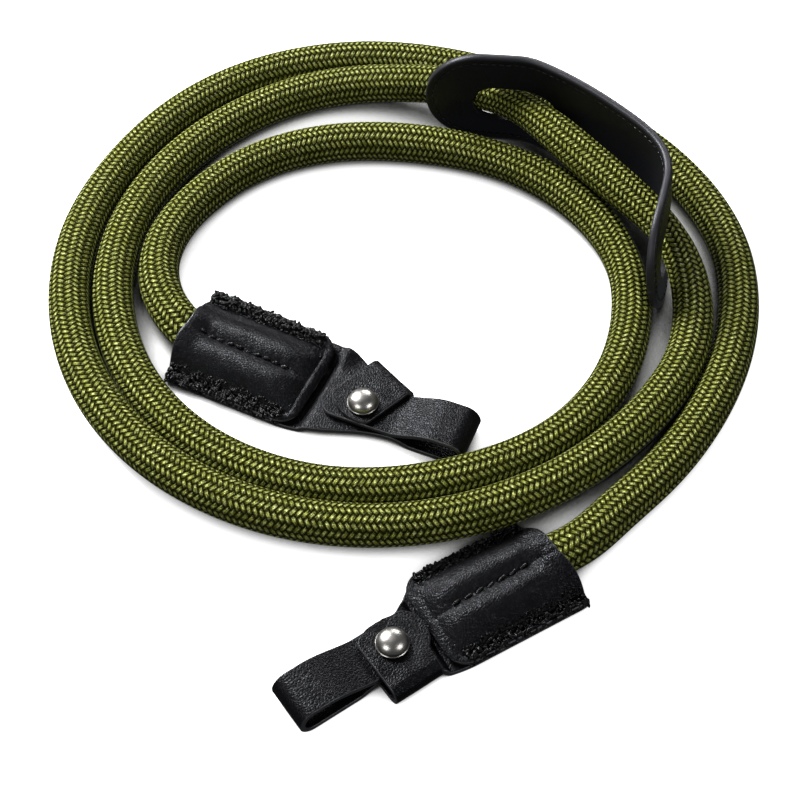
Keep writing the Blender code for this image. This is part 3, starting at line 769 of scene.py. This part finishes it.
def makeRope(cloth):
    path = ropePath()
    rings, sides = len(path), ropeSpec["sides"]
    tangent = np.gradient(path, axis=0)
    tangent /= np.linalg.norm(tangent, axis=1)[:, None]
    side = np.cross(tangent, (0.0, 0.0, 1.0))
    side /= np.linalg.norm(side, axis=1)[:, None]
    up = np.cross(side, tangent)
    radius = ropeSpec["diameter"] / 2.0
    middle = padSpec["slotRise"] + padSpec["slotHeight"] / 2.0
    grips = [padPlace(start + length / 2.0, middle) for start, length in padSpec["slots"]]
    near = np.min([np.linalg.norm(path - grip, axis=1) for grip in grips], axis=0)
    size = radius * (1.0 - ropeSpec["squeeze"] * np.exp(-(near / ropeSpec["reach"]) ** 2))
    length = np.concatenate([[0.0], np.cumsum(np.linalg.norm(np.diff(path, axis=0), axis=1))])
    into = np.minimum(length, length[-1] - length)
    flat = 1.0 - smoothStep((into - ropeSpec["flatFrom"]) / ropeSpec["flatOver"])
    theta = np.linspace(0.0, 2.0 * math.pi, sides, endpoint=False)
    columns = ropeSpec["columns"]
    relief = 1.0 - ropeSpec["relief"] + ropeSpec["relief"] * np.cos(theta * columns)
    swell = 1.0
    for amount, rate, phase in ropeSpec["swells"]:
        swell = swell + amount * np.sin(length * rate + phase)
    wide = (size * swell * (1.0 + ropeSpec["wider"] * flat))[:, None] * (np.cos(theta) * relief)[None, :]
    tall = (size * swell * (1.0 - ropeSpec["flatter"] * flat))[:, None] * (np.sin(theta) * relief)[None, :]
    verts = path[:, None, :] + side[:, None, :] * wide[:, :, None] + up[:, None, :] * tall[:, :, None]
    for tab in tabSpecs.values():
        pressInside(tab, verts)
    index = np.arange(rings * sides).reshape(rings, sides)
    following = np.roll(index, -1, axis=1)
    faces = np.stack([index[:-1], following[:-1], following[1:], index[1:]], axis=-1).reshape(-1, 4)
    caps = [tuple(index[0, ::-1].tolist()), tuple(index[-1].tolist())]
    mesh = bpy.data.meshes.new("braidedRope")
    mesh.from_pydata((verts.reshape(-1, 3) * mm).tolist(), [], faces.tolist() + caps)
    # the map counts steps of the braid: along the rope first, round it second
    turns = np.arange(sides + 1) * columns / sides
    runs = length / ropeSpec["pitch"]
    uvs = np.zeros((rings - 1, sides, 4, 2), dtype=np.float32)
    uvs[:, :, 0, 0] = uvs[:, :, 1, 0] = runs[:-1, None]
    uvs[:, :, 2, 0] = uvs[:, :, 3, 0] = runs[1:, None]
    uvs[:, :, 0, 1] = uvs[:, :, 3, 1] = turns[None, :-1]
    uvs[:, :, 1, 1] = uvs[:, :, 2, 1] = turns[None, 1:]
    layer = mesh.uv_layers.new(name="lay")
    flatUvs = np.concatenate([uvs.reshape(-1, 2), np.zeros((2 * sides, 2), dtype=np.float32)])
    layer.data.foreach_set("uv", flatUvs.ravel())
    mesh.shade_smooth()
    work = bmesh.new()
    work.from_mesh(mesh)
    if work.calc_volume(signed=True) < 0.0:
        bmesh.ops.reverse_faces(work, faces=work.faces)
    work.to_mesh(mesh)
    work.free()
    mesh.materials.append(cloth)
    return linkObject("braidedRope", mesh), path


def makeSleeve(key, tab, skin):
    rows = np.concatenate([np.linspace(0.0, 30.0, 90), np.linspace(30.0, leather["sleeve"], 44)[1:]])
    shares = np.linspace(-1.0, 1.0, 97)
    u = rows[:, None] + 0.0 * shares[None, :]
    v = halfWidth(tab, u, shares[None, :]) * shares[None, :]
    mouth = 0.35 * np.sin(v * 0.45 + 1.0) * (1.0 - smoothStep(u / 5.0)) + mouthSlant(tab, u, v)
    points = tabPlace(tab, u + mouth, v, sleeveMiddle(tab, u, v))
    return closedSheet("sleeve" + key.upper(), points, leather["wall"], 0.35, skins=(skin, edgeFinishAndHighlight))


# Lumpy overlock thread wrapped round both long edges of a sleeve
overlockSpec = {
    "from": 0.4, "to": 33.0, "lowest": 0.85,
    "courses": [  # distance in from the edge, height over the sleeve's middle, size
        (3.4, 0.75, 0.85), (2.5, 1.05, 1.05), (1.5, 1.15, 1.2),
        (0.5, 0.85, 1.25), (-0.1, 0.1, 1.15), (0.1, -0.7, 0.95),
    ],
    "spacing": 0.66, "jitter": 0.26, "wobble": 26.0, "spread": 0.45, "slant": 34.0,
    "bead": (1.15, 0.60, 0.60),
}


def makeOverlock(key, tab, thread):
    rows = []
    look = overlockSpec
    for side in (1.0, -1.0):
        u = np.linspace(look["from"], look["to"], 70)
        half = halfWidth(tab, u, side)
        for number, (inset, rise, size) in enumerate(look["courses"]):
            v = side * (half - inset + 0.25 * np.sin(u * 1.1 + number * 2.0))
            z = np.maximum(sleeveMiddle(tab, u, v) + rise + 0.22 * np.sin(u * 1.7 + number), look["lowest"])
            row = {**look, "turn": 90.0 - look["slant"] * (-1) ** number, "seed": 3 + number * 7,
                   "size": [part * size for part in look["bead"]]}
            rows.append(stitchRow("lock%s%d%d" % (key, int(side), number),
                                  tabPlace(tab, u + mouthSlant(tab, u, v), v, z), row, thread))
    return joined("overlock" + key.upper(), rows, thread)


# Stitches in the valley, and the small ones just inside the sleeve's front rim
valleySpec = {"jitter": 0.12, "turn": 12.0, "wobble": 12.0, "seed": 5,
              "share": 0.80, "bead": (1.05, 0.90), "raised": 0.55}
rimSpec = {"spacing": 2.3, "jitter": 0.1, "turn": 6.0, "wobble": 10.0, "size": (1.5, 0.5, 0.5), "seed": 9,
           "inset": 2.5, "bend": 3.4, "from": 30.5, "raised": 0.12}


def makeValley(key, tab, thread):
    step = valleyStep(tab)
    u = np.linspace(tab["stitchFrom"], tab["stitchTo"], 80)
    z = sleeveMiddle(tab, u, 0.0 * u) + leather["wall"] / 2.0 + valleySpec["raised"]
    row = {**valleySpec, "spacing": step, "size": (step * valleySpec["share"], *valleySpec["bead"])}
    return stitchRow("valleyStitches" + key.upper(), tabPlace(tab, u, 0.12 * np.sin(u * 1.7), z), row, thread)


def makeRimStitches(key, tab, thread):
    inset, bend = rimSpec["inset"], rimSpec["bend"]
    half = float(halfWidth(tab, np.array(leather["sleeve"] - 6.0), np.array(-1.0))) - inset
    front = leather["sleeve"] - inset
    line = [(rimSpec["from"], -half)]
    for corner, first in ((bend - half, -90.0), (half - bend, 0.0)):
        for angle in np.radians(np.linspace(first, first + 90.0, 8)):
            line.append((front - bend + bend * math.cos(angle), corner + bend * math.sin(angle)))
    line.append((rimSpec["from"], half))
    u, v = np.array(line).T
    z = sleeveMiddle(tab, u, v) + leather["wall"] / 2.0 + rimSpec["raised"]
    return stitchRow("rimStitches" + key.upper(), tabPlace(tab, u, v, z), rimSpec, thread)


# Base leather, strap, fastening loop and the return under the keeper, all one strip
tongueSpec = {
    "start": 0.5, "basePoints": (24, 60), "rise": (1.0, 1.8), "soften": 1.4,
    "drop": 5.5,  # length in which the strap comes down to the floor behind the keeper
    "loopHeight": 5.4, "loopFlat": 7.5, "tipShare": 0.7, "bulge": 0.3,
}


def tongueLine(tab):
    # stations (u, height, half width left, half width right)
    spec = tongueSpec
    t = leather["base"]
    low = t / 2.0
    overKeeper = leather["keeperWall"] + leather["gap"] + low
    back = overKeeper + t + leather["gap"]
    keeperFrom, keeperTo = keeperSpan(tab)
    start = leather["sleeve"]
    left, right = tab["edges"][-1][1:]
    first, second = spec["basePoints"]
    line = []
    for u in np.concatenate([np.linspace(spec["start"], 31.0, first), np.linspace(31.6, keeperTo, second)]):
        rise = smoothStep((u - start - spec["rise"][0]) / (keeperFrom - start - spec["rise"][1]))
        near = u + np.linspace(-spec["soften"], spec["soften"], 9)
        wide = [np.mean(tableValue(tab["edges"], near, side)) for side in (1, 2)]
        line.append((u, low + (overKeeper - low) * rise, *wide))
    drop = keeperTo + 2.0 * leather["gap"]
    for share in np.linspace(0.1, 1.0, 10):
        height = overKeeper + (low - overKeeper) * smoothStep(share)
        line.append((drop + spec["drop"] * share, height, left, right))
    radius = (spec["loopHeight"] + t) / 2.0
    turn = tab["loop"] - low - radius
    for u in np.linspace(drop + spec["drop"] + 0.8, turn - 0.6, 8):
        line.append((u, low, left, right))
    for angle in np.radians(np.linspace(-90.0, 90.0, 25)):
        line.append((turn + radius * math.cos(angle), low + radius + radius * math.sin(angle), left, right))
    top = low + 2.0 * radius
    highFrom = turn - spec["loopFlat"] + radius
    for u in np.linspace(turn - 0.7, highFrom + 0.7, 9):
        line.append((u, top, left, right))
    for share in np.linspace(0.0, 1.0, 18):
        fall = 0.45 * share ** 1.6 + 0.55 * smoothStep(share)
        line.append((highFrom + (drop - highFrom) * share, top + (back - top) * fall, left, right))
    tip = tab["stud"] - tab["tip"]
    reach = left * spec["tipShare"]
    for u in np.linspace(keeperTo - 0.6, tip + reach + 0.8, 14):
        line.append((u, back, left, right))
    for angle in np.radians(np.linspace(0.0, 80.0, 9)):
        slim = math.cos(angle)
        line.append((tip + reach * (1.0 - math.sin(angle)), back, left * slim, right * slim))
    return np.array(line)


def makeTongue(key, tab, skin):
    line = tongueLine(tab)
    shares = (np.sin(np.linspace(-math.pi / 2.0, math.pi / 2.0, 33) * 0.999) * 0.5
              + np.linspace(-1.0, 1.0, 33) * 0.5)
    u = line[:, 0][:, None] + 0.0 * shares[None, :]
    v = np.where(shares[None, :] > 0.0, line[:, 2][:, None], line[:, 3][:, None]) * shares[None, :]
    z = line[:, 1][:, None] + 0.0 * v
    base = (np.arange(len(line)) < sum(tongueSpec["basePoints"]))[:, None]
    beyond = 1.0 - smoothStep((u - leather["sleeve"] - 4.0) / 6.0)
    v = v + np.where(base, tab["wider"] * np.maximum(shares, 0.0)[None, :] * beyond, 0.0)
    z = z + np.where(base, edgeLift(tab, u, v), 0.0)
    u = u + np.where(base, mouthSlant(tab, u, v), 0.0)
    return closedSheet("tongue" + key.upper(), tabPlace(tab, u, v, z), leather["base"], tongueSpec["bulge"],
                       skins=(skin, edgeFinishAndHighlight))


# Keeper folded round the strap, rounded at its free ends and dented a little under the stud
keeperSpec = {"round": 0.5, "dent": 0.12, "dentReach": 30.0, "swell": 0.1, "bulge": 0.22}


def makeKeeper(key, tab, skin):
    t = leather["keeperWall"]
    low = t / 2.0
    high = t + 2.0 * leather["base"] + 3.0 * leather["gap"] + t / 2.0
    radius = (high - low) / 2.0
    fold = tab["fold"] - radius - t / 2.0
    half = leather["keeper"] / 2.0
    end = -tab["open"]
    into = half * keeperSpec["round"]
    rounding = [(end + into * (1.0 - math.sin(a)), half * math.cos(a))
                for a in np.radians(np.linspace(74.0, 0.0, 12))]
    line = [(across, low, width) for across, width in rounding]
    line += [(across, low, half) for across in np.linspace(end + into + 0.6, fold - 0.6, 22)]
    for angle in np.radians(np.linspace(0.0, 180.0, 25)):
        line.append((fold + radius * math.sin(angle), low + radius - radius * math.cos(angle), half))
    line += [(across, high, half) for across in np.linspace(fold - 0.6, end + into + 0.6, 26)]
    line += [(across, high, width) for across, width in reversed(rounding)]
    line = np.array(line)
    shares = np.linspace(-1.0, 1.0, 31)
    along = line[:, 2][:, None] * shares[None, :]
    across = line[:, 0][:, None] + 0.0 * along
    upper = (np.arange(len(line)) > len(line) // 2)[:, None]
    dent = np.exp(-((across ** 2 + along ** 2) / keeperSpec["dentReach"])) * keeperSpec["dent"]
    uneven = keeperSpec["swell"] * wave(across * 0.9, along * 0.9) - dent
    height = line[:, 1][:, None] + np.where(upper, uneven, 0.0)
    return closedSheet("keeper" + key.upper(), keeperPlace(tab, along, across, height), t,
                       keeperSpec["bulge"], skins=(skin, edgeFinishAndHighlight))


# Domed stud with a thin rim; its profile is turned round its own axis
studSpec = {"radius": 4.1, "height": 3.1, "rim": 0.22, "rimTop": 0.42, "dome": 0.93, "steps": 64}


def makeStud(key, tab, metal):
    radius, foot, steps = studSpec["radius"], studSpec["rimTop"], studSpec["steps"]
    cap = radius - studSpec["rim"]
    profile = [(0.001, 0.0), (radius * 0.93, 0.0), (radius * 0.985, 0.08), (radius, 0.22),
               (radius * 0.985, 0.36), (cap + 0.14, foot), (cap + 0.02, foot - 0.02)]
    for angle in np.radians(np.linspace(3.0, 89.9, 22)):
        profile.append((cap * math.cos(angle) ** studSpec["dome"],
                        foot + (studSpec["height"] - foot) * math.sin(angle)))
    seat = 2.0 * leather["keeperWall"] + 2.0 * leather["base"] + 4.0 * leather["gap"]
    centre = tabPlace(tab, tab["stud"], tab["studAcross"], seat)
    theta = np.linspace(0.0, 2.0 * math.pi, steps, endpoint=False)
    verts = [centre + np.array([r * math.cos(t), r * math.sin(t), z]) for r, z in profile for t in theta]
    last = (len(profile) - 1) * steps
    faces = []
    for ring in range(0, last, steps):
        for k in range(steps):
            n = (k + 1) % steps
            faces.append((ring + k, ring + n, ring + steps + n, ring + steps + k))
    faces.append(tuple(range(steps)))
    faces.append(tuple(range(last, last + steps)))
    stud = linkMesh("stud" + key.upper(), verts, faces)
    stud.data.materials.append(metal)
    return stud


def stadium(start, length, middle, height, endSteps, straight, across, first=5.0):
    # grid of points over a strip with round ends
    radius = height / 2.0
    ends = [radius * (1.0 - math.cos(a)) for a in np.radians(np.linspace(first, 90.0, endSteps))]
    inner = list(np.linspace(radius, length - radius, straight + 1)[1:-1])
    stations = np.array(ends + inner + [length - s for s in reversed(ends)])
    edge = np.minimum(np.minimum(stations, length - stations), radius)
    half = np.sqrt(np.maximum(radius ** 2 - (radius - edge) ** 2, 0.0))
    shares = (np.sin(np.linspace(-math.pi / 2.0, math.pi / 2.0, across)) * 0.45
              + np.linspace(-1.0, 1.0, across) * 0.55)
    return start + stations[:, None] + 0.0 * shares[None, :], middle + half[:, None] * shares[None, :]


def padEdge(s, w):
    # distance from the strip's outline in millimetres
    radius = padSpec["width"] / 2.0
    along = np.clip(s, radius, padSpec["length"] - radius)
    return radius - np.sqrt((s - along) ** 2 + (w - radius) ** 2)


def makePad(skin):
    rounding = padSpec["rounding"]
    s, w = stadium(rounding, padSpec["length"] - 2.0 * rounding, padSpec["width"] / 2.0,
                   padSpec["width"] - 2.0 * rounding, 16, 130, 41, 7.0)
    edge = padEdge(s, w)
    thin = padSpec["thinEdge"] * (1.0 - smoothStep(edge / 0.9))
    wall = padSpec["wall"] - thin - padSpec["seamDepth"] * np.exp(-((edge - padSpec["seam"]) / 0.35) ** 2)
    points = padPlace(s, w, padSpec["swell"] * wave(s * 0.12, w * 0.2))
    pad = closedSheet("shoulderPad", points, wall, rounding, 6, np.stack([edge, s], axis=-1))
    rise = padSpec["slotRise"] + padSpec["slotHeight"] / 2.0
    for number, (start, length) in enumerate(padSpec["slots"]):
        s, w = stadium(start, length, rise, padSpec["slotHeight"], 12, 24, 9)
        cutter = closedSheet("slotCutter%d" % number, padPlace(s, w), padSpec["wall"] * 3.0, 0.0, 1)
        cut = pad.modifiers.new("slot%d" % number, "BOOLEAN")
        cut.object = cutter
        mesh = plainMesh(pad)
        pad.modifiers.clear()
        pad.data = mesh
        bpy.data.objects.remove(cutter)
    # the cuts leave near-double points along the slots' edges
    work = bmesh.new()
    work.from_mesh(pad.data)
    bmesh.ops.remove_doubles(work, verts=work.verts, dist=0.02 * mm)
    bmesh.ops.dissolve_degenerate(work, edges=work.edges, dist=0.01 * mm)
    bmesh.ops.triangulate(work, faces=[face for face in work.faces if len(face.verts) > 4])
    work.to_mesh(pad.data)
    work.free()
    pad.data.materials.clear()
    pad.data.materials.append(skin)
    pad.data.shade_smooth()
    pad.data.set_sharp_from_angle(angle=math.radians(48.0))
    return pad


# One stitch line round each face of the pad, sunk a little
padStitchSpec = {"spacing": 2.1, "jitter": 0.05, "turn": 0.0, "wobble": 4.0,
                 "size": (1.5, 0.34, 0.30), "sunk": 0.04}


def makePadStitches(thread):
    radius = padSpec["width"] / 2.0
    far = padSpec["length"] - radius
    reach = radius - padSpec["seam"]
    track = []
    for middle, other, first in ((radius, far, 90.0), (far, radius, -90.0)):
        for angle in np.radians(np.linspace(first, first + 180.0, 40)):
            track.append((middle + reach * math.cos(angle), radius + reach * math.sin(angle)))
        side = track[-1][1]
        track += [(s, side) for s in np.linspace(middle, other, 80)[1:-1]]
    s, w = np.array(track).T
    rows = []
    for number, way in enumerate((1.0, -1.0)):
        points = padPlace(s, w, way * (padSpec["wall"] / 2.0 - padStitchSpec["sunk"]))
        rows.append(stitchRow("padRow%d" % number, points, {**padStitchSpec, "seed": 21 + number}, thread))
    return joined("padStitches", rows, thread)


# Camera, with its focal length as a share of the picture's width
cameraSpec = {"place": (-7.0, -273.46, 375.0), "tilt": 36.0, "sensor": 36.0, "focal": 1782.0 / 800.0}


def makeCamera():
    lens = bpy.data.cameras.new("view")
    lens.sensor_width = cameraSpec["sensor"]
    lens.lens = cameraSpec["focal"] * cameraSpec["sensor"]
    lens.clip_start = 0.01
    camera = linkObject("view", lens)
    camera.location = [part * mm for part in cameraSpec["place"]]
    camera.rotation_euler = (math.radians(cameraSpec["tilt"]), 0.0, 0.0)
    bpy.context.scene.camera = camera


# Soft boxes: place and target in metres, sides, power
lights = {
    "key": ((-0.52, 0.56, 0.60), (0.0, 0.03, 0.0), (0.40, 0.40), 20.5),
    "back": ((0.20, 0.90, 0.42), (0.0, 0.03, 0.0), (0.40, 0.25), 3.2),
    "right": ((0.50, -0.35, 0.45), (0.0, 0.0, 0.0), (0.30, 0.30), 1.3),
    "front": ((-0.42, -0.42, 0.45), (0.0, 0.0, 0.0), (0.30, 0.30), 1.3),
}


def makeLight(name, place, target, size, power):
    data = bpy.data.lights.new(name, "AREA")
    data.shape = "RECTANGLE"
    data.size, data.size_y = size
    data.energy = power
    light = linkObject(name, data)
    light.location = place
    light.rotation_euler = (Vector(target) - Vector(place)).to_track_quat("-Z", "Y").to_euler()


# Pale floor with painted shade only in narrow gaps, where ambient occlusion darkens its colour and stops its
# even glow, and the light all round
stageSpec = {
    # the gap colour is painted shade, laid where ambient occlusion finds parts close by
    "half": 6000.0, "height": -0.05, "pale": (0.93, 0.93, 0.93, 1.0), "gap": (0.10, 0.10, 0.09, 1.0),
    "paintedShadeReach": 0.03, "paintedShadeFrom": 0.21, "paintedShadeTo": 0.47, "glow": 0.85, "roughness": 0.75,
    "sky": (0.92, 0.96, 1.0, 1.0), "skyStrength": 0.07,
}


def makeStage():
    look = stageSpec
    half, height = look["half"], look["height"]
    corners = [(-half, -half, height), (half, -half, height), (half, half, height), (-half, half, height)]
    floor = linkMesh("floor", corners, [(0, 1, 2, 3)], smooth=False)
    sh = Shader("paleFloor")
    # painted shade: ambient occlusion darkens the colour and cuts the glow in narrow gaps
    nook = sh.node("ShaderNodeAmbientOcclusion")
    nook.inputs["Distance"].default_value = look["paintedShadeReach"]
    clear = sh.scaled(nook.outputs["AO"], 0.0, 1.0, look["paintedShadeFrom"], look["paintedShadeTo"])
    sh.join(sh.mix(clear, look["gap"], look["pale"]), sh.bsdf.inputs["Base Color"])
    sh.shared("Roughness", look["roughness"])
    sh.shared("Emission Color", (1.0, 1.0, 1.0, 1.0))
    sh.join(sh.math("MULTIPLY", clear, look["glow"]), sh.bsdf.inputs["Emission Strength"])
    floor.data.materials.append(sh.material)
    floor.visible_diffuse = False
    floor.visible_glossy = False
    world = bpy.data.worlds.new("studio")
    world.use_nodes = True
    background = world.node_tree.nodes["Background"].inputs
    background["Color"].default_value = look["sky"]
    background["Strength"].default_value = look["skyStrength"]
    bpy.context.scene.world = world
    for name, values in lights.items():
        makeLight(name, *values)


bpy.context.scene.view_settings.view_transform = "Standard"
makeCamera()
makeStage()
stitchNodes = stitchTree()
cloth = braidMaterial()
nappa, strapSkin = [
    {key: leatherMaterial(kind, key.upper(), -tab["heading"]) for key, tab in tabSpecs.items()}
    for kind in ("nappa", "strapGrain")
]
padSkin = leatherMaterial("padLeather")
# cut edges: paler than the faces, partly their burnished finish, partly painted highlight
edgeFinishAndHighlight = leatherMaterial("cutEdgeFinishAndHighlight")
blackThread = threadMaterial("blackThread", (0.004, 0.004, 0.005), 0.24)
padThread = threadMaterial("padThread", (0.022, 0.022, 0.024), 0.30)
steel = metalMaterial()

rope, ropeTrack = makeRope(cloth)
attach(rope, "root")
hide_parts("braided_rope", "rope_end_a", "rope_end_b")
mouth = tabPlace(tabSpecs["a"], 0.0, 0.0, 5.5) * mm
print("rope laid")

for key, tab in tabSpecs.items():
    sleeve = makeSleeve(key, tab, nappa[key])
    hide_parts("sleeve_" + key)
    tongue = makeTongue(key, tab, strapSkin[key])
    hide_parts("tongue_" + key)
    keeper = makeKeeper(key, tab, strapSkin[key])
    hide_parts("keeper_" + key)
    stud = makeStud(key, tab, steel)
    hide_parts("stud_" + key)
    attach(stud, "root")
    sewn = [make(key, tab, blackThread) for make in (makeOverlock, makeValley, makeRimStitches)]
    for piece in [sleeve, tongue, keeper] + sewn:
        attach(piece, "root")
    print("tab", key, "made")

pad = makePad(padSkin)
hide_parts("shoulder_pad")
for piece in (pad, makePadStitches(padThread)):
    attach(piece, "root")
print("shoulder pad made")
